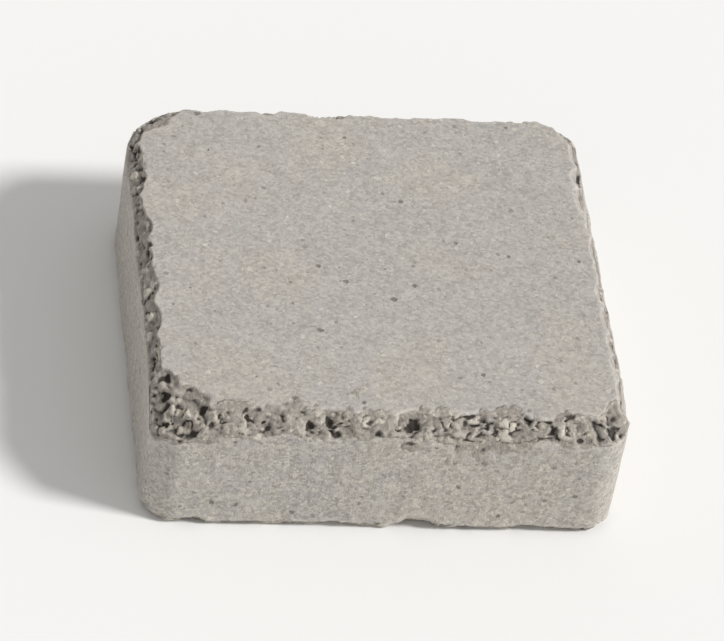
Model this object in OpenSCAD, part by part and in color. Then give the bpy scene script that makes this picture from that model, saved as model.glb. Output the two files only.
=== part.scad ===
// Tumbled square paving stone, pressed from concrete in one piece.
// Millimetres. Origin at the middle of the bed face, +Z up to the walking face,
// +X to the right and +Y to the far side as the stone is seen from its front edge.

/* [Block] */
// Length along X, side to side
stone_l = 200; // [150:5:300]
// Width along Y, front to back
stone_w = 200; // [150:5:300]
// Height from the bed face to the walking face
stone_h = 60; // [50:5:100]

/* [Corners] */
// Plan radius of the near left corner
corner_near_left = 15; // [12:1:45]
// Plan radius of the near right corner
corner_near_right = 14; // [12:1:45]
// Plan radius of the far right corner
corner_far_right = 20; // [12:1:45]
// Plan radius of the far left corner, the most worn of the four
corner_far_left = 31; // [12:1:45]

/* [Arrises] */
// Radius that tumbling has left on the walking face's edge
arris_top = 6; // [3:0.5:10]
// Radius on the bed face's edge
arris_bed = 4; // [2:0.5:10]

/* [Chips] */
// Chips along each edge of the walking face
chips_top = 8; // [2:1:10]
// Chips along each edge of the bed face
chips_bed = 4; // [2:1:9]
// Smallest radius of a chip's hollow
chip_r_min = 10; // [6:1:16]
// Largest radius of a chip's hollow
chip_r_max = 26; // [16:1:40]
// Least depth of a chip below the worn arris
chip_bite_min = 0.8; // [0.5:0.1:1.5]
// Greatest depth of a chip below the worn arris
chip_bite_max = 2.4; // [1.5:0.1:4]
// Flattest lean of a chip towards the sky, in degrees
chip_lean_min = 35; // [25:1:45]
// Steepest lean of a chip towards the sky, in degrees
chip_lean_max = 60; // [45:1:70]

/* [Wear] */
// Extra depth of the chips along the front edge, the most worn of the four
wear_front = 2; // [0:0.25:3]
// Extra depth of the chips along the right edge
wear_right = 0.25; // [0:0.25:3]
// Extra depth of the chips along the back edge
wear_back = 0.5; // [0:0.25:3]
// Extra depth of the chips along the left edge
wear_left = 1; // [0:0.25:3]

/* [Broken corners] */
// Depth of the near left break, from the square corner that it took off
break_near_left = 16; // [12:1:25]
// Depth of the near right break, from the square corner that it took off
break_near_right = 11; // [8:1:20]
// Lean of both broken faces towards the sky, in degrees
break_lean = 50; // [25:1:60]

/* [Hidden] */
$fn = 64;
concrete = [0.70, 0.68, 0.66];

// Plan radii anticlockwise from the near left corner, then each side's length, its distance from the middle
// and its wear. Side i runs from corner i to corner i + 1: front, right, back, left.
corner = [corner_near_left, corner_near_right, corner_far_right, corner_far_left];
side_length = [stone_l, stone_w, stone_l, stone_w];
side_reach = [stone_w / 2, stone_l / 2, stone_w / 2, stone_l / 2];
side_wear = [wear_front, wear_right, wear_back, wear_left];
sides = [0:3];

// An even scatter: the fraction left over from n steps of the golden ratio, from 0 to 1.
// A chip's place, radius, depth and lean take steps of different lengths, so that they vary apart.
golden = (sqrt(5) - 1) / 2;
function scatter(n) = n * golden - floor(n * golden);
function between(low, high, share) = low + (high - low) * share;
radius_step = 3;
depth_step = 7;
lean_step = 11;

// Each chip keeps to the middle of its own stretch of the edge, between these shares of it.
stretch_from = 0.2;
stretch_to = 0.8;

// Number of the first chip on the walking face's edge and on the bed face's edge.
first_top = 1;
first_bed = 50;

// Where the round part of a corner's plan ends, measured along its side from the side's middle.
function run_start(i) = corner[i] - side_length[i] / 2;
function run_end(i) = side_length[i] / 2 - corner[(i + 1) % 4];

// Distance from a square edge down to the middle of a round of radius r on it.
function worn_off(r) = r * (sqrt(2) - 1);

// Upright half section through an edge of the stone: worn arris above, worn bed edge below.
module edge_section(depth) {
    translate([0, arris_bed]) square([depth, stone_h - arris_bed - arris_top]);
    square([depth - arris_bed, stone_h / 2]);
    translate([0, stone_h / 2]) square([depth - arris_top, stone_h / 2]);
    translate([depth - arris_bed, arris_bed]) circle(arris_bed);
    translate([depth - arris_top, stone_h - arris_top]) circle(arris_top);
}

// Turns and moves its children so that -Y points out of side i, with that side's middle at the origin.
module at_side(i) {
    rotate(90 * i) translate([0, -side_reach[i], 0]) children();
}

// One side of the stone between its two corners, as deep as the middle of the plan.
module side_run(i) {
    at_side(i)
        translate([run_end(i), side_reach[i], 0])
            rotate([90, 0, -90])
                linear_extrude(run_end(i) - run_start(i)) edge_section(side_reach[i]);
}

// The round corner at the start of side i.
module corner_post(i) {
    at_side(i)
        translate([run_start(i), corner[i], 0])
            rotate(180) rotate_extrude(angle = 90) edge_section(corner[i]);
}

// Round hollow that reaches the given depth below a square edge along X, on a line that leans to the sky.
module scoop(r, depth, lean) {
    rotate([-lean, 0, 0]) translate([0, depth - r, 0]) sphere(r);
}

// Chips spread along side i, each in its own stretch of the side and each of its own size.
// The edge's round and its wear are added to a chip's depth.
module chips(i, count, first, arris, wear) {
    stretch = (run_end(i) - run_start(i)) / count;
    for (k = [0:count - 1]) {
        n = first + i * count + k;
        place = k + between(stretch_from, stretch_to, scatter(n));
        translate([run_start(i) + stretch * place, 0, 0])
            scoop(
                between(chip_r_min, chip_r_max, scatter(radius_step * n)),
                worn_off(arris) + wear + between(chip_bite_min, chip_bite_max, scatter(depth_step * n)),
                between(chip_lean_min, chip_lean_max, scatter(lean_step * n))
            );
    }
}

// Flat break across the square corner at the start of side i, cut by a block wide enough to span it.
module corner_break(i, depth) {
    cutter = 4 * depth;
    at_side(i)
        translate([-side_length[i] / 2, 0, stone_h])
            rotate(-45) rotate([-break_lean, 0, 0])
                translate([-cutter / 2, depth - cutter, -cutter / 2]) cube(cutter);
}

module paving_stone() {
    color(concrete) difference() {
        union() {
            for (i = sides) {
                side_run(i);
                corner_post(i);
            }
        }
        for (i = sides) {
            at_side(i) translate([0, 0, stone_h]) chips(i, chips_top, first_top, arris_top, side_wear[i]);
            at_side(i) mirror([0, 0, 1]) chips(i, chips_bed, first_bed, arris_bed, 0);
        }
        corner_break(0, break_near_left);
        corner_break(1, break_near_right);
    }
}

paving_stone();
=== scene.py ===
import math
import zlib

import bpy
import numpy as np
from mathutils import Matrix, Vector


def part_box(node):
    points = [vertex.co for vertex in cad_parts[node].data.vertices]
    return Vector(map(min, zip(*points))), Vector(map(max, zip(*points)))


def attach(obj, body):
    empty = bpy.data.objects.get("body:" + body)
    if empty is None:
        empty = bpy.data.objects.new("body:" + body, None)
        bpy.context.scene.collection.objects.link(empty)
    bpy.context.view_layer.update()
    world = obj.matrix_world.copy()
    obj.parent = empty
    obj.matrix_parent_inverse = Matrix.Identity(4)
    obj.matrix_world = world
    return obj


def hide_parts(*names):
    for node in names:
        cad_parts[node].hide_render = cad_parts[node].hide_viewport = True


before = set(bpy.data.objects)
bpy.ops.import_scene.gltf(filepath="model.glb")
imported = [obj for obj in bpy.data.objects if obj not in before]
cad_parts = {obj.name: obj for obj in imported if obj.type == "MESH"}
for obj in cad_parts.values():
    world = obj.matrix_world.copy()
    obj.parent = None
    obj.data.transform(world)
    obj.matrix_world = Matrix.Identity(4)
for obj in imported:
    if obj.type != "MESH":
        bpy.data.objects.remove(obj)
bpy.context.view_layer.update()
low, high = (np.array(corner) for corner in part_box("paving_stone"))
size = high - low
print("block", [round(float(side) * 1000, 1) for side in size], "mm")


# chance and noise

mixers = np.array([73856093, 19349663, 83492791], np.uint64)  # one odd factor for each axis
folds = np.array([33, 29, 32], np.uint64)  # bits by which each step folds a number over
stirrer = np.uint64(0xFF51AFD7ED558CCD)  # odd factor of each step
keptBits = 24


def hashed(cells, words):
    # a number from 0 up to 1 for each row of whole numbers: its bits are multiplied and folded over
    seed = np.uint64(zlib.crc32(words.encode()))
    bits = (cells.astype(np.int64).astype(np.uint64) * mixers).sum(axis=-1) ^ seed
    for fold in folds:
        bits = (bits ^ (bits >> fold)) * stirrer
    return (bits >> np.uint64(64 - keptBits)).astype(float) / 2**keptBits


def smoothNoise(p, grid, words):
    # from -1 to 1: a chance number at each point of a cubic grid, blended by a smooth step on each axis
    q = p / grid
    cell = np.floor(q)
    f = q - cell
    f = f * f * (3 - 2 * f)
    total = 0
    for corner in np.ndindex(2, 2, 2):
        weight = np.where(corner, f, 1 - f).prod(axis=1)
        total = total + weight * hashed(cell + corner, words)
    return total * 2 - 1


def roughNoise(p, grid, words, octaves=3):
    # smooth noise on a grid, plus the same on half the grid at half the height, and so on
    layers = [smoothNoise(p, grid / 2**k, f"{words} {k}") / 2**k for k in range(octaves)]
    return sum(layers) / (2 - 2 / 2**octaves)


def lumps(p, grid, words):
    # one lump at a chance place in each cube of a grid: how far a point is inside its lump, which is the next
    # lump's distance less its own lump's, in cubes, and two chance numbers of that lump
    q = p / grid
    cell = np.floor(q)
    first = np.full(len(p), np.inf)
    second = first
    own = np.zeros((2, len(p)))
    for step in np.ndindex(3, 3, 3):
        near = cell + step - 1
        chances = [hashed(near, f"{words} {k}") for k in range(5)]
        gap = np.linalg.norm(q - near - np.stack(chances[:3], axis=1), axis=1)
        nearer = gap < first
        second = np.where(nearer, first, np.minimum(second, gap))
        first = np.where(nearer, gap, first)
        own = np.where(nearer, chances[3:], own)
    return second - first, own[0], own[1]


def ease(x, start, end):
    # 0 before start, 1 after end, and a smooth step between them
    t = np.clip((x - start) / (end - start), 0, 1)
    return t * t * (3 - 2 * t)


def between(span, share):
    # the value that lies this share of the way along a span
    return span[0] + (span[1] - span[0]) * share


# the block before its wear, in metres

block = {
    "cells": 292,  # lattice cells along each side of the plan
    "rims": (4, 32),  # cells round the bed and the top before their lattice turns four times coarser
    "rows": (5, 17, 22),  # lattice rows up the height: near the bed, between, and near the top
    "belts": (0.005, 0.015),  # height of the rows near the bed and near the top
    "crowding": 0.03,  # how far the lattice is drawn towards the plan's edges, as a share of half a side
    "crowdingPower": 8,  # the higher, the closer to the edge the lattice crowds
    "corners": (0.015, 0.014, 0.020, 0.031),  # plan radii: near left, near right, far right, far left
    "arris": {"top": 0.006, "bed": 0.004},  # radius of the worn edge
    "arrisWander": 0.35,  # share by which an arris grows and shrinks along the edge
    "arrisGrid": 0.016,
    "inner": 0.012,  # how far inside the faces a smaller block lies that the chips are drawn towards
}


def boxSide(axis, far):
    # one side of a box from 0 to 1: a grid of its two other coordinates, in the order that faces outwards
    cells = np.array([block["cells"], block["cells"], sum(block["rows"])])
    a, b = ((axis + 1) % 3, (axis + 2) % 3) if far else ((axis + 2) % 3, (axis + 1) % 3)
    grid = np.zeros((cells[a] + 1, cells[b] + 1, 3))
    grid[..., a], grid[..., b] = np.indices(grid.shape[:2])
    grid /= cells
    grid[..., axis] = far
    return grid, a, b


def cellsOf(grid):
    # the cells of a grid of points, each as its four corners
    return np.stack([grid[:-1, :-1], grid[1:, :-1], grid[1:, 1:], grid[:-1, 1:]], axis=2)


def rimOf(grid):
    # the points round a grid's edge, in order and closed
    return np.concatenate([grid[:-1, 0], grid[-1, :-1], grid[:0:-1, -1], grid[0, ::-1]])


def rimmedFaces(grid, a, b, rim):
    # a flat face: a rim of the full lattice, a middle four times coarser, and five triangles between the rim
    # and each coarse cell, written as quads whose last corner comes twice
    n = block["cells"]
    cells = cellsOf(grid)
    inRim = np.ones(cells.shape[:2], bool)
    inRim[rim:-rim, rim:-rim] = False
    count = (n - 2 * rim) // 4
    line = np.linspace(rim + 4, n - rim - 4, count + 1) / n
    coarse = np.tile(grid[0, 0], (count + 1, count + 1, 1))
    coarse[..., a], coarse[..., b] = np.meshgrid(line, line, indexing="ij")
    fine = rimOf(grid[rim:-rim, rim:-rim])
    f = np.stack([fine[k : k + 16 * count : 4] for k in range(4)] + [fine[4::4]])
    c = rimOf(coarse)
    c0, c1 = c[:-1], c[1:]
    corners = [(f[0], f[1], c0), (f[1], f[2], c0), (f[2], c1, c0), (f[2], f[3], c1), (f[3], f[4], c1)]
    band = [np.stack([*three, three[2]], axis=1) for three in corners]
    return np.concatenate([cells[inRim], cellsOf(coarse).reshape(-1, 4, 3), *band])


def graded(share):
    # the even lattice, drawn towards the edges of the plan and spread over three belts of the height
    s = share[..., :2] * 2 - 1
    s = s + block["crowding"] * s * (1 - np.abs(s) ** block["crowdingPower"])
    rows = np.cumsum((0,) + block["rows"]) / sum(block["rows"])
    bedBelt, topBelt = np.array(block["belts"]) / size[2]
    up = np.interp(share[..., 2], rows, [0, bedBelt, 1 - topBelt, 1])
    return np.concatenate([(s + 1) / 2, up[..., None]], axis=-1)


mapRows = {
    "squares": 0.625,  # height of the row that holds both square faces
    "strips": 0.1875,  # height of each of the two rows that hold the sides
    "margin": 0.004,
}


def mapPlaces(corners, axis, far, a, b):
    # the map's layout: both square faces side by side below, the four sides as strips above
    u, v = corners[..., a], corners[..., b]
    if a == 2:
        u, v = v, 1 - u
    start, rise = 0, mapRows["squares"]
    if axis != 2:
        start, rise = mapRows["squares"] + mapRows["strips"] * axis, mapRows["strips"]
    margin = mapRows["margin"]
    u = 0.5 * far + margin + u * (0.5 - 2 * margin)
    v = start + margin + v * (rise - 2 * margin)
    return np.stack([u, v], axis=-1)


def skinLattice():
    # the six sides of a box, with the points of their common edges shared: each point becomes one whole
    # number, from its three coordinates in steps of a millionth, and like numbers are one point
    corners = []
    places = []
    for axis in range(3):
        for far in (0, 1):
            grid, a, b = boxSide(axis, far)
            if axis == 2:
                side = rimmedFaces(grid, a, b, block["rims"][far])
            else:
                side = cellsOf(grid).reshape(-1, 4, 3)
            side = graded(side)
            corners.append(side)
            places.append(mapPlaces(side, axis, far, a, b))
    corners = np.concatenate(corners).reshape(-1, 3)
    whole = np.round(corners * 2**20).astype(np.int64)
    _, first, faces = np.unique(whole @ [1, 2**21, 2**42], return_index=True, return_inverse=True)
    return corners[first], faces.reshape(-1, 4), np.concatenate(places)


def wornBlock(share):
    # a box point, moved twice: an edge's inset and depth go onto a quarter circle of the arris radius, then
    # the plan's square corner goes onto a quarter circle of the corner's own radius
    p = share * size + low
    half = size[:2] / 2
    flat = np.abs(p[:, :2])
    inset = (half - flat).min(axis=1)
    upper = p[:, 2] > size[2] / 2
    depth = size[2] - p[:, 2]
    wander = 1 + block["arrisWander"] * smoothNoise(p, block["arrisGrid"], "arris")
    radius = np.where(upper, block["arris"]["top"], block["arris"]["bed"]) * wander
    a = np.clip(radius - inset, 0, None)
    b = np.clip(radius - np.where(upper, depth, p[:, 2]), 0, None)
    shed = 1 - radius / np.maximum(np.hypot(a, b), radius)
    nearLeft, nearRight, farRight, farLeft = block["corners"]
    near = np.where(p[:, 0] > 0, nearRight, nearLeft)
    far = np.where(p[:, 0] > 0, farRight, farLeft)
    corner = np.where(p[:, 1] > 0, far, near)
    q = flat - (half - corner[:, None])
    around = np.clip(q, 0, None)
    ring = (q.max(axis=1) - a * shed) / np.maximum(np.linalg.norm(around, axis=1), 1e-9)
    p[:, :2] = np.sign(p[:, :2]) * (flat - around + around * ring[:, None])
    p[:, 2] += np.where(upper, -b, b) * shed
    return p, inset, depth


def outward(p, faces):
    # each face's normal is the cross product of its diagonals, and a point's is the sum of its faces'
    across = np.cross(p[faces[:, 2]] - p[faces[:, 0]], p[faces[:, 3]] - p[faces[:, 1]])
    total = np.zeros_like(p)
    for corner in range(4):
        np.add.at(total, faces[:, corner], across)
    return total / np.maximum(np.linalg.norm(total, axis=1, keepdims=True), 1e-12)


def fromInside(p):
    # the direction to each point from the nearest point of the smaller block: paths along it never cross
    v = p - np.clip(p, low + block["inner"], high - block["inner"])
    return v / np.linalg.norm(v, axis=1, keepdims=True)


def softened(values, faces, passes):
    # each pass gives a point the mean of its faces' means, for every column of its values
    ends = faces.ravel()
    count = np.bincount(ends)
    for _ in range(passes):
        means = np.repeat(values[faces].mean(axis=1), 4, axis=0)
        values = np.stack([np.bincount(ends, column) / count for column in means.T], axis=1)
    return values


# chips and broken corners

chips = {
    "count": {"top": 8, "bed": 4},  # along each straight side
    "first": {"top": 1, "bed": 50},  # number of the first chip
    "radius": (0.010, 0.026),
    "bite": (0.0008, 0.0024),  # below the worn arris
    "extra": {"top": (0.002, 0.00025, 0.0005, 0.001), "bed": (0, 0, 0, 0)},  # deeper by this at each side
    "lean": (35, 60),  # towards the sky or the bed, in degrees
    "stretch": (0.2, 0.8),  # each chip keeps between these shares of its own stretch of the side
    "steps": {"radius": 3, "depth": 7, "lean": 11},  # steps of the scatter, so that these vary apart
    "window": 1.3,  # how far round a hollow points are looked at, in its radii
}


def chipHollows(edge):
    # the large chips of one edge: place, radius, depth and lean follow the golden ratio's even scatter
    def scatter(n):
        return n * (math.sqrt(5) - 1) / 2 % 1

    centres = []
    radii = []
    for i in range(4):
        turn = math.pi / 2 * i
        along = np.array([math.cos(turn), math.sin(turn), 0])
        out = np.array([math.sin(turn), -math.cos(turn), 0])
        length, reach = (size[0], size[1] / 2) if i % 2 == 0 else (size[1], size[0] / 2)
        start = block["corners"][i] - length / 2
        stretch = (length / 2 - block["corners"][(i + 1) % 4] - start) / chips["count"][edge]
        for k in range(chips["count"][edge]):
            n = chips["first"][edge] + i * chips["count"][edge] + k
            radius = between(chips["radius"], scatter(chips["steps"]["radius"] * n))
            depth = block["arris"][edge] * (math.sqrt(2) - 1) + chips["extra"][edge][i]
            depth += between(chips["bite"], scatter(chips["steps"]["depth"] * n))
            lean = math.radians(between(chips["lean"], scatter(chips["steps"]["lean"] * n)))
            rise = (radius - depth) * math.sin(lean)
            z = size[2] + rise if edge == "top" else -rise
            centre = along * (start + stretch * (k + between(chips["stretch"], scatter(n))))
            centres.append(centre + out * (reach + (radius - depth) * math.cos(lean)) + [0, 0, z])
            radii.append(radius)
    return centres, radii


def scooped(p, out, centres, radii, ragged):
    # round hollows: a point inside a sphere goes straight in until it lies on that sphere
    p = p.copy()
    for centre, radius in zip(centres, radii):
        near = np.flatnonzero((np.abs(p - centre) < radius * chips["window"]).all(axis=1))
        v = p[near] - centre
        r = radius * (1 + ragged[near])
        spare = r * r - (v * v).sum(axis=1)
        along = (v * out[near]).sum(axis=1)
        reach = along + np.sqrt(np.clip(along**2 + spare, 0, None))
        p[near] -= out[near] * np.where(spare > 0, np.clip(reach, 0, None), 0)[:, None]
    return p


breaks = {
    "depth": {(-1, -1): 0.016, (1, -1): 0.011},  # from the square corner, by the signs of its x and y
    "lean": 50,  # towards the sky, in degrees
    "swell": 0.003,  # slow waves of the broken face
    "swellGrid": 0.018,
    "relief": 0.0042,  # its roughness
    "reliefGrid": 0.009,
}


def brokenCorners(p):
    # a break is a rough plane across a corner: what lies beyond it goes straight back to it
    rough = breaks["relief"] * roughNoise(p, breaks["reliefGrid"], "break")
    rough += breaks["swell"] * smoothNoise(p, breaks["swellGrid"], "swell")
    lean = math.radians(breaks["lean"])
    p = p.copy()
    for (signX, signY), depth in breaks["depth"].items():
        flat = math.cos(lean) / math.sqrt(2)
        normal = np.array([signX * flat, signY * flat, math.sin(lean)])
        corner = np.array([signX * size[0] / 2, signY * size[1] / 2, size[2]])
        over = (p - corner) @ normal + depth + rough
        p -= normal * np.clip(over, 0, None)[:, None]
    return p


# wear

wear = {
    "seed": 7,
    # along the front, right, back and left arris
    "band": (0.0135, 0.0025, 0.005, 0.0075),  # worn width
    "coarse": (1.0, 0.3, 1.0, 1.0),  # how coarse that width is between its chips
    "raw": (1.0, 0.3, 0.7, 1.0),  # how fresh the chips look
    "sideReach": 0.008,  # how far one side's wear runs on round a corner
    "bandWander": (0.5, 1.4),  # shares of the worn width along the arris
    "bandGrid": 0.035,
    "bedBand": 0.004,  # worn width round the bed
    "bedStrength": 0.5,  # how rough it is beside the top's
    # slow waves
    "sideWave": 0.0016,  # how far the sides bow in and out
    "sideWaveGrid": 0.04,
    "faceWave": 0.0005,
    "faceWaveGrid": 0.05,
    # spalls, which are wide shallow chips on the arrises
    "spalls": 170,
    "spallRadius": (0.005, 0.017),
    "spallBite": (0.0004, 0.0021),
    "spallReach": 0.004,  # how near an edge their middles lie
    "smallFirst": 1.6,  # the higher, the more of them are small
    "bedSpalls": 0.7,  # how often they come round the bed
    "raggedGrid": 0.005,
    "chipRagged": 0.03,  # share by which a chip's radius wanders
    "spallRagged": 0.06,
    # losses at which the skin starts to go and is gone, and at which the roughness starts and is whole
    "chipFresh": (0.0004, 0.0009),
    "breakFresh": (0.0002, 0.0006),
    "chipDeep": (0.0004, 0.0028),
    "breakDeep": (0.0002, 0.0028),
    "softLoss": 0.0004,  # loss from which the surface is softened
    "softPasses": 4,
    "patch": 0.9,  # how far the worn width strays in patches, as a share of it
    "patchGrid": 0.008,
    "bareRim": (0.1, 0.25),
    # crumbled patches
    "crumble": 0.22,  # how deep they go, as a share of the worn width
    "crumbleWidest": 0.010,
    "crumbleRim": (0.0, 0.75),
    "crumbleGrid": 0.0085,
    "bedCrumble": 0.6,
    # coarse grains that stand out where the skin is gone
    "grainGrid": 0.0044,
    "grainRelief": 0.0010,
    "grainRim": (0.02, 0.3),  # how far inside its lump a grain starts and is whole, in cubes
    "grainWarp": 0.0022,
    "warpGrid": 0.0035,
    "grainShare": 0.45,  # share of the grains that stand out
    "tornShare": (0.03, 0.20),  # share of them that are torn out, far from an arris and on it
    "tornReach": 0.5,
    "tornDepth": 0.0015,
    "chipFill": 0.0022,  # how far the grains in a chip may stand out of it
    # roughness
    "facet": 0.0016,
    "facetGrid": 0.008,
    "fineGrid": 0.004,
    "bareRough": 0.0012,
    "sideRough": 0.0006,
    "shallow": (0.12, 1),  # strength of the relief far from an arris and on it
    "shallowReach": 0.8,
    "sunkPasses": 8,  # how wide round a point its surroundings are taken
}


def sideShare(p):
    # how near each point is to the front, right, back and left side, as shares that add up to one
    away = [p[:, 1] - low[1], high[0] - p[:, 0], high[1] - p[:, 1], p[:, 0] - low[0]]
    close = np.exp(-np.array(away) / wear["sideReach"])
    return close / close.sum(axis=0)


def hollows(rng, p, out, chance, count, radius, depth):
    # spheres at chance points, small ones oftener than large, each to its own depth below the surface there
    spots = rng.choice(len(p), count, p=chance / chance.sum())
    share = rng.random(count) ** wear["smallFirst"]
    radii = between(radius, share)
    depths = between(depth, (share + rng.random(count)) / 2)
    return p[spots] + out[spots] * (radii - depths)[:, None], radii


def wornStone():
    # the lattice is rounded, waved, chipped, broken and roughened, each step inwards from the one before
    share, faces, places = skinLattice()
    rng = np.random.default_rng(wear["seed"])
    p, inset, depth = wornBlock(share)
    normal = outward(p, faces)
    upright = 1 - np.abs(normal[:, 2])
    faceUp = np.clip(normal[:, 2], 0, 1)
    lift = size[2] - depth
    upper = depth < lift

    wave = wear["sideWave"] * upright * (0.5 + 0.5 * roughNoise(p, wear["sideWaveGrid"], "side wave"))
    wave += wear["faceWave"] * faceUp * (0.5 + 0.5 * smoothNoise(p, wear["faceWaveGrid"], "face wave"))
    p = p - normal * wave[:, None]

    # chips and spalls, then the two broken corners
    before = p
    rays = fromInside(p)
    sides = sideShare(p)
    wander = 0.5 + 0.5 * roughNoise(p, wear["bandGrid"], "band", 2)
    band = np.array(wear["band"]) @ sides * between(wear["bandWander"], wander)
    raw = np.array(wear["raw"]) @ sides
    ragged = roughNoise(p, wear["raggedGrid"], "ragged")
    for edge in ("top", "bed"):
        p = scooped(p, rays, *chipHollows(edge), wear["chipRagged"] * ragged)
    near = wear["spallReach"]
    chance = np.where((inset < near) & (depth < near), band, 0)
    chance += np.where((inset < near) & (lift < near), wear["bedBand"] * wear["bedSpalls"], 0)
    spalls = hollows(rng, p, rays, chance, wear["spalls"], wear["spallRadius"], wear["spallBite"])
    p = scooped(p, rays, *spalls, wear["spallRagged"] * ragged)
    chipLoss = np.linalg.norm(p - before, axis=1)
    chipped = p
    p = brokenCorners(p)
    breakLoss = np.linalg.norm(p - chipped, axis=1)
    lost = chipLoss + breakLoss
    p += (softened(p, faces, wear["softPasses"]) - p) * ease(lost, 0, wear["softLoss"])[:, None]

    # where the skin is gone, and how deep
    edgeGap = np.minimum(np.hypot(inset, depth) / band, np.hypot(inset, lift) / wear["bedBand"])
    patch = roughNoise(before, wear["patchGrid"], "patch")
    fresh = np.maximum(ease(chipLoss, *wear["chipFresh"]) * raw, ease(breakLoss, *wear["breakFresh"]))
    deep = np.maximum(ease(chipLoss, *wear["chipDeep"]) * raw, ease(breakLoss, *wear["breakDeep"]))
    bare = np.maximum(ease(1 - edgeGap + wear["patch"] * patch, *wear["bareRim"]), fresh)

    # crumbled patches, coarse grains, some of them torn out, and roughness
    out = outward(softened(p, faces, wear["softPasses"]), faces)
    width = np.where(upper, np.minimum(band, wear["crumbleWidest"]), wear["bedCrumble"] * wear["bedBand"])
    crumbled = ease(roughNoise(p, wear["crumbleGrid"], "crumble"), *wear["crumbleRim"])
    warp = np.stack([roughNoise(p, wear["warpGrid"], f"warp {axis}") for axis in "xyz"], axis=1)
    inside, pick, tone = lumps(p + wear["grainWarp"] * warp, wear["grainGrid"], "grain")
    body = bare * ease(inside, *wear["grainRim"])
    grain = body * (pick > 1 - wear["grainShare"])
    torn = body * (pick < between(wear["tornShare"], ease(1 - edgeGap, 0, wear["tornReach"])))
    level = lumps(p + 2 * wear["grainWarp"] * warp, wear["facetGrid"], "facet")[1]
    fine = 0.5 + 0.5 * roughNoise(p, wear["fineGrid"], "fine")
    relief = wear["grainRelief"] * (1 - grain) + wear["bareRough"] * fine + wear["facet"] * level
    relief = relief + wear["crumble"] * width * crumbled
    relief += wear["tornDepth"] * torn - np.minimum(lost, wear["chipFill"])
    coarse = np.where(upper, np.array(wear["coarse"]) @ sides, 1)
    shallow = between(wear["shallow"], ease(1 - edgeGap, 0, wear["shallowReach"])) * coarse
    strength = np.maximum(shallow, deep) * np.where(upper, 1, wear["bedStrength"])
    relief = bare * strength * relief + (1 - bare) * upright * wear["sideRough"] * fine
    relief = relief[:, None]
    p = np.clip(p - out * (relief + softened(relief, faces, 1)) / 2, low, high)

    # how far each point is sunk below the surface round it, in millimetres
    sunk = ((softened(p, faces, wear["sunkPasses"]) - p) * out).sum(axis=1) * 1000
    print("stone", len(p), "points")
    marks = {"bare": bare, "torn": torn, "side": upright, "grain": grain, "tone": tone, "sunk": sunk}
    return p, faces, places, marks


def meshObject(name, p, faces, places, marks):
    # a face whose last corner comes twice is a triangle
    used = np.ones(faces.shape, bool)
    used[:, 3] = faces[:, 3] != faces[:, 2]
    counts = used.sum(axis=1)
    mesh = bpy.data.meshes.new(name)
    mesh.vertices.add(len(p))
    mesh.vertices.foreach_set("co", p.astype(np.float32).ravel())
    mesh.loops.add(counts.sum())
    mesh.loops.foreach_set("vertex_index", faces[used].astype(np.int32))
    mesh.polygons.add(len(faces))
    mesh.polygons.foreach_set("loop_start", (np.cumsum(counts) - counts).astype(np.int32))
    mesh.polygons.foreach_set("use_smooth", np.ones(len(faces), bool))
    mesh.update(calc_edges=True)
    layer = mesh.uv_layers.new(name="OFBake")
    layer.uv.foreach_set("vector", places[used].astype(np.float32).ravel())
    for mark, values in marks.items():
        attribute = mesh.attributes.new(mark, "FLOAT", "POINT")
        attribute.data.foreach_set("value", values.astype(np.float32))
    thing = bpy.data.objects.new(name, mesh)
    bpy.context.scene.collection.objects.link(thing)
    print(name, (counts - 2).sum(), "triangles, sound" if not mesh.validate() else "triangles, mended")
    return thing


# shader maths

class Wire:
    # one output socket of a node tree; arithmetic on it adds Math nodes
    def __init__(self, tree, socket=None):
        self.tree = tree
        self.socket = socket

    def node(self, kind, settings=None, sockets=None, output=0):
        # any node: its type, its settings, then the values or wires of its sockets
        made = self.tree.nodes.new(kind)
        for name, value in (settings or {}).items():
            setattr(made, name, value)
        for name, value in (sockets or {}).items():
            if isinstance(value, Wire):
                self.tree.links.new(value.socket, made.inputs[name])
            else:
                made.inputs[name].default_value = value
        return Wire(self.tree, made.outputs[output] if made.outputs else None)

    def also(self, output):
        # another output of the same node
        return Wire(self.tree, self.socket.node.outputs[output])

    def maths(self, operation, *values):
        # a Math node of these values or wires
        return self.node("ShaderNodeMath", {"operation": operation}, dict(enumerate(values)))

    def __add__(self, other):
        return self.maths("ADD", self, other)

    def __sub__(self, other):
        return self.maths("SUBTRACT", self, other)

    def __rsub__(self, other):
        return self.maths("SUBTRACT", other, self)

    def __mul__(self, other):
        return self.maths("MULTIPLY", self, other)

    __radd__ = __add__
    __rmul__ = __mul__

    def over(self, start, end):
        # 0 below start, 1 above end, and a smooth step between; the other way round where end is the lower
        sockets = {"Value": self, "From Min": start, "From Max": end}
        return self.node("ShaderNodeMapRange", {"interpolation_type": "SMOOTHSTEP"}, sockets)

    def larger(self, other):
        return self.maths("MAXIMUM", self, other)

    def mix(self, a, b):
        # colours a and b, blended by this wire's value; 6, 7 and 2 are the Mix node's colour sockets
        return self.node("ShaderNodeMix", {"data_type": "RGBA"}, {0: self, 6: a, 7: b}, 2)

    def shades(self, colours):
        # the colours in turn, evenly spread, as this wire's value goes from 0 to 1
        shade = self.node("ShaderNodeValToRGB", {}, {"Fac": self})
        elements = shade.socket.node.color_ramp.elements
        while len(elements) < len(colours):
            elements.new(1)
        for element, place, colour in zip(elements, np.linspace(0, 1, len(colours)), colours):
            element.position = place
            element.color = colour
        return shade


def rgb(red, green, blue):
    # a colour as the eye reads it, 0 to 255, as the linear numbers that shaders take
    def linear(c):
        c = c / 255
        return c / 12.92 if c <= 0.04045 else ((c + 0.055) / 1.055) ** 2.4

    return (linear(red), linear(green), linear(blue), 1)


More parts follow.
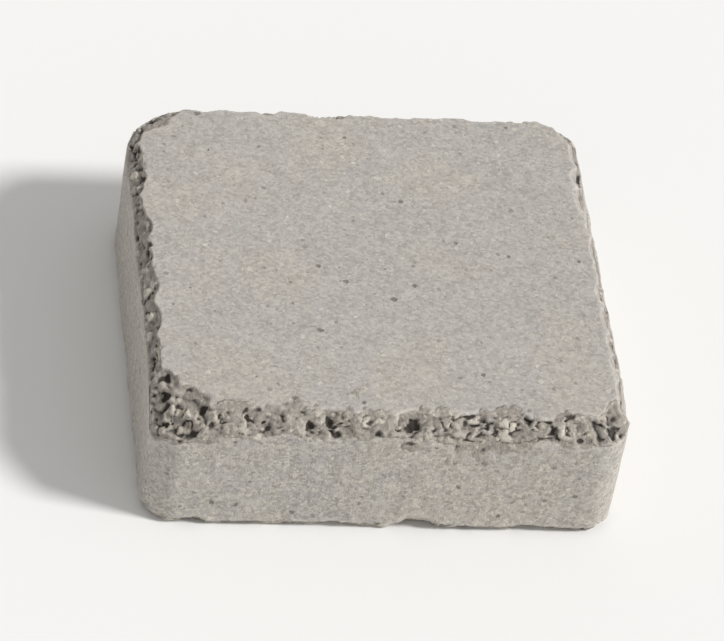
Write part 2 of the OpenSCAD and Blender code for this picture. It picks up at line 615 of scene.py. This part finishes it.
finish = {
    # colours of the skin
    "warm": rgb(184, 177, 169),
    "cool": rgb(177, 174, 170),
    "bloom": rgb(198, 194, 188),
    "shade": rgb(158, 152, 145),
    "sand": [rgb(138, 130, 121), rgb(172, 166, 159), rgb(188, 183, 176), rgb(216, 207, 190)],
    "lightSpeck": rgb(212, 205, 192),
    "darkSpeck": rgb(126, 119, 111),
    # painted shade inside the small open pores
    "shadedPit": rgb(108, 101, 93),
    # colours where the skin is gone
    "stones": [rgb(108, 101, 92), rgb(162, 153, 141), rgb(200, 189, 172), rgb(238, 229, 212)],
    "matrix": rgb(152, 144, 135),  # between the stones
    "gap": rgb(40, 33, 27),  # painted shade, with some dirt, in deep hollows and torn-out grains
    "bruiseAndHighlight": rgb(214, 208, 198),  # rubbed tips: real wear, and partly a painted highlight on the ridges
    # noise patterns: size in metres, detail and roughness
    "noise": {
        "cloud": (0.045, 3, 0.5),
        "bloom": (0.03, 4, 0.6),
        "tone": (0.007, 5, 0.7),
        "mottle": (0.0036, 3, 0.6),
        "drag": (0.004, 4, 0.6),
        "push": (0.0024, 3, 0.5),
        "broken": (0.0016, 4, 0.75),
        "side": (0.0022, 3, 0.7),
    },
    "dragSquash": (1, 1, 0.1),  # draws the marks on the sides out upright
    # grains: size in metres, and the least and largest radius of the spots at their middles, in cells
    "grains": {"sand": 0.0011, "speck": 0.0046, "shadedPit": 0.0105, "stone": 0.0024},
    "spots": {"light": (0.05, 0.27), "dark": (0.05, 0.25), "shadedPit": (0.03, 0.13), "stone": (0.1, 0.5)},
    "spotRim": 0.04,  # half the width of a spot's soft rim
    "push": 0.0024,  # how far the grains are pushed out of round
    # values of a pattern, or of a grain's chance number, at which its layer starts and is whole
    "span": {
        "cloud": (0.36, 0.64),
        "bloom": (0.5, 0.75),
        "tone": (0.42, 0.7),
        "lightMottle": (0.53, 0.68),
        "darkMottle": (0.47, 0.32),
        "drag": (0.5, 0.7),
        "light": (0.74, 0.78),
        "dark": (0.26, 0.22),
        "shadedPit": (0.5, 0.55),
        "bruiseAndHighlight": (-0.03, -0.4),  # millimetres by which a point is sunk, as for the gap
        # millimetres sunk at which the painted shade and dirt of the hollows start and are whole
        "gap": (0.05, 0.42),
    },
    "sidePits": 0.3,  # added to the pits' chance numbers on the sides, so that more of them show
    # how much of a layer shows where it is whole
    "share": {
        "bloom": 0.3,
        "tone": 0.4,
        "mottle": 0.5,
        "drag": 0.35,
        "sand": 0.42,
        "sideSand": 0.14,  # more on the sides
        "speck": 0.6,
        "shadedPit": 0.75,
        "stone": 0.75,
        "brokenSand": 0.2,
        "sideBrokenSand": 0.1,  # more on the sides
        "broken": 0.85,
        "bruiseAndHighlight": 0.35,
        # how much painted shade and dirt the hollows get
        "gap": 0.2,
        "brokenShadeAndDirt": 0.7,  # more painted shade and dirt where the skin is gone
    },
    # heights of the bump's layers, in bump heights
    "heights": {"sand": 0.14, "tone": 0.3, "light": 0.1, "shadedPit": 0.5, "drag": 0.5, "side": 0.35},
    "brokenHeights": {"stone": 0.8, "broken": 1.3},
    "bumpHeight": 0.001,
    "bumpStrength": 0.8,
    "roughness": {"skin": 0.86, "tone": 0.12, "light": 0.15},  # the tone adds, the light specks take away
}


def wornConcrete():
    # the skin is laid layer on layer, then the broken concrete over it where the skin is gone
    material = bpy.data.materials.new("worn_concrete")
    material.use_nodes = True
    tree = material.node_tree
    tree.nodes.clear()
    new = Wire(tree).node
    place = new("ShaderNodeTexCoord", output="Object")
    span = finish["span"]
    share = finish["share"]

    def noise(name, at=place):
        grid, detail, roughness = finish["noise"][name]
        sockets = {"Vector": at, "Scale": 1 / grid, "Detail": detail, "Roughness": roughness}
        return new("ShaderNodeTexNoise", {}, sockets)

    def vector(operation, *values):
        return new("ShaderNodeVectorMath", {"operation": operation}, dict(enumerate(values)))

    uneven = vector("MULTIPLY_ADD", noise("push").also("Color"), (finish["push"],) * 3, place)
    drawn = vector("MULTIPLY", place, finish["dragSquash"])

    def grains(name):
        # cells of a grid: the distance from a cell's middle, and two chance numbers of that cell
        sockets = {"Vector": uneven, "Scale": 1 / finish["grains"][name]}
        cell = new("ShaderNodeTexVoronoi", {"feature": "F1"}, sockets)
        own = new("ShaderNodeSeparateColor", {}, {0: cell.also("Color")})
        return cell, own, own.also(1)

    def spots(name, gap, pick):
        # round each grain's middle, out to a radius of its own, in cells
        least, most = finish["spots"][name]
        return (pick * (most - least) + least - gap).over(-finish["spotRim"], finish["spotRim"])

    def mark(name):
        # one of the stone's own attributes
        return new("ShaderNodeAttribute", {"attribute_name": name}, output="Fac")

    bare = mark("bare")
    torn = mark("torn")
    side = mark("side")
    grain = mark("grain")
    tone = mark("tone")
    sunk = mark("sunk")

    # the skin: slow warm and cool clouds, a faint bloom, then sand
    skin = noise("cloud").over(*span["cloud"]).mix(finish["cool"], finish["warm"])
    skin = (noise("bloom").over(*span["bloom"]) * share["bloom"]).mix(skin, finish["bloom"])
    fineTone = noise("tone")
    skin = (fineTone.over(*span["tone"]) * share["tone"]).mix(skin, finish["shade"])
    mottle = noise("mottle")
    skin = (mottle.over(*span["lightMottle"]) * share["mottle"]).mix(skin, finish["bloom"])
    skin = (mottle.over(*span["darkMottle"]) * share["mottle"]).mix(skin, finish["shade"])
    drag = noise("drag", drawn)
    skin = (drag.over(*span["drag"]) * side * share["drag"]).mix(skin, finish["shade"])
    sandGap, sandTone, _ = grains("sand")
    sand = sandTone.shades(finish["sand"])
    skin = (share["sand"] + side * share["sideSand"]).mix(skin, sand)

    # single grains, and small open pores in the skin, darkened with painted shade
    speckGap, speckTone, speckPick = grains("speck")
    light = spots("light", speckGap, speckPick) * speckTone.over(*span["light"])
    dark = spots("dark", speckGap, speckPick) * speckTone.over(*span["dark"])
    skin = (light * share["speck"]).mix(skin, finish["lightSpeck"])
    skin = (dark * share["speck"]).mix(skin, finish["darkSpeck"])
    pitGap, pitTone, pitPick = grains("shadedPit")
    shadedPits = spots("shadedPit", pitGap, pitPick) * (pitTone + side * finish["sidePits"]).over(*span["shadedPit"])
    # painted shade in the pores
    skin = (shadedPits * share["shadedPit"]).mix(skin, finish["shadedPit"])

    # where the skin is gone: coarse sand and grains in a darker matrix, with painted shade and dirt in the
    # hollows and a partly painted highlight on the ridges
    stoneGap, stoneTone, stonePick = grains("stone")
    broken = grain.mix(finish["matrix"], tone.shades(finish["stones"]))
    small = spots("stone", stoneGap, stonePick) * share["stone"]
    broken = small.mix(broken, stoneTone.shades(finish["stones"]))
    broken = (share["brokenSand"] + side * share["sideBrokenSand"]).mix(broken, sand)
    colour = (bare * share["broken"]).mix(skin, broken)
    # lighter where a point stands above its surroundings: rubbed wear, and partly a painted highlight
    colour = (sunk.over(*span["bruiseAndHighlight"]) * share["bruiseAndHighlight"]).mix(colour, finish["bruiseAndHighlight"])
    # painted shade, with some dirt, where a point is sunk below its surroundings and in torn-out grains
    shadeAndDirt = sunk.over(*span["gap"]).larger(torn) * (bare * share["brokenShadeAndDirt"] + share["gap"])
    colour = shadeAndDirt.mix(colour, finish["gap"])

    # bump and roughness
    up = finish["heights"]
    height = (1 - sandGap) * up["sand"] + fineTone * up["tone"] + light * up["light"] - shadedPits * up["shadedPit"]
    upBroken = finish["brokenHeights"]
    height = height + bare * ((1 - stoneGap) * upBroken["stone"] + noise("broken") * upBroken["broken"])
    height = height + side * (noise("side") * up["side"] + drag * up["drag"])
    relief = {"Height": height, "Distance": finish["bumpHeight"], "Strength": finish["bumpStrength"]}
    bump = new("ShaderNodeBump", {}, relief)
    matt = finish["roughness"]
    rough = matt["skin"] + fineTone * matt["tone"] - light * matt["light"]
    shader = new("ShaderNodeBsdfPrincipled", {}, {"Base Color": colour, "Roughness": rough, "Normal": bump})
    new("ShaderNodeOutputMaterial", {}, {"Surface": shader})
    print("material", len(tree.nodes), "nodes")
    return material


stone = meshObject("worn_stone", *wornStone())
stone.data.materials.append(wornConcrete())
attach(stone, "root")
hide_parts("paving_stone")


# floor, light and camera

studio = {
    "floorHalf": 20,  # metres from its middle to its edges
    "floor": rgb(247, 246, 244),
    "key": 2.6,  # strength of the sun lamp
    "keyAzimuth": 72,
    "keyElevation": 40,
    "keySpread": 12,  # degrees: the wider, the softer the shadow
    "keyDistance": 3,
    "fill": 0.46,  # strength of the light from all round
}


def facing(azimuth, elevation):
    # the direction from the stone towards a lamp or camera at these angles
    a, e = math.radians(azimuth), math.radians(elevation)
    return np.array([math.sin(a) * math.cos(e), -math.cos(a) * math.cos(e), math.sin(e)])


def aimed(thing, place, target):
    # puts a lamp or camera at a place, looking at a target
    thing.location = place
    thing.rotation_euler = Vector(target - place).to_track_quat("-Z", "Y").to_euler()
    bpy.context.scene.collection.objects.link(thing)


def paleFloor():
    half = studio["floorHalf"]
    mesh = bpy.data.meshes.new("floor")
    corners = [(-half, -half, 0), (half, -half, 0), (half, half, 0), (-half, half, 0)]
    mesh.from_pydata(corners, [], [(0, 1, 2, 3)])
    material = bpy.data.materials.new("pale_floor")
    material.use_nodes = True
    shader = material.node_tree.nodes["Principled BSDF"]
    shader.inputs["Base Color"].default_value = studio["floor"]
    shader.inputs["Roughness"].default_value = 1
    shader.inputs["Specular IOR Level"].default_value = 0
    mesh.materials.append(material)
    floor = bpy.data.objects.new("floor", mesh)
    bpy.context.scene.collection.objects.link(floor)


def softLight():
    key = bpy.data.lights.new("key", "SUN")
    key.energy = studio["key"]
    key.angle = math.radians(studio["keySpread"])
    toward = facing(studio["keyAzimuth"], studio["keyElevation"])
    aimed(bpy.data.objects.new("key", key), toward * studio["keyDistance"], np.zeros(3))
    world = bpy.data.worlds.new("soft_fill")
    world.use_nodes = True
    tree = world.node_tree
    tree.nodes.clear()
    new = Wire(tree).node
    path = new("ShaderNodeLightPath")
    seen = path.also("Is Camera Ray") + path.also("Is Glossy Ray") + path.also("Is Transmission Ray")
    fill = new("ShaderNodeBackground", {}, {"Color": (1, 1, 1, 1), "Strength": studio["fill"]})
    white = new("ShaderNodeBackground", {}, {"Color": (1, 1, 1, 1), "Strength": 1})
    both = new("ShaderNodeMixShader", {}, {0: seen, 1: fill, 2: white})
    new("ShaderNodeOutputWorld", {}, {"Surface": both})
    bpy.context.scene.world = world


shot = {
    "azimuth": -12.8,
    "elevation": 41.9,
    "roll": 10.4,  # so that the front edge runs level across the picture
    "distance": 2.05,
    "lens": 240,  # millimetres, as the sensor is
    "sensor": 36,
    "aimHeight": 0.026,
}


def photoCamera():
    camera = bpy.data.cameras.new("camera")
    camera.sensor_width = shot["sensor"]
    camera.lens = shot["lens"]
    target = np.array([0, 0, shot["aimHeight"]])
    place = target + facing(shot["azimuth"], shot["elevation"]) * shot["distance"]
    thing = bpy.data.objects.new("camera", camera)
    aimed(thing, place, target)
    thing.rotation_euler.rotate_axis("Z", math.radians(shot["roll"]))
    bpy.context.scene.camera = thing


paleFloor()
softLight()
photoCamera()
bpy.context.scene.view_settings.view_transform = "Standard"
print("studio set")
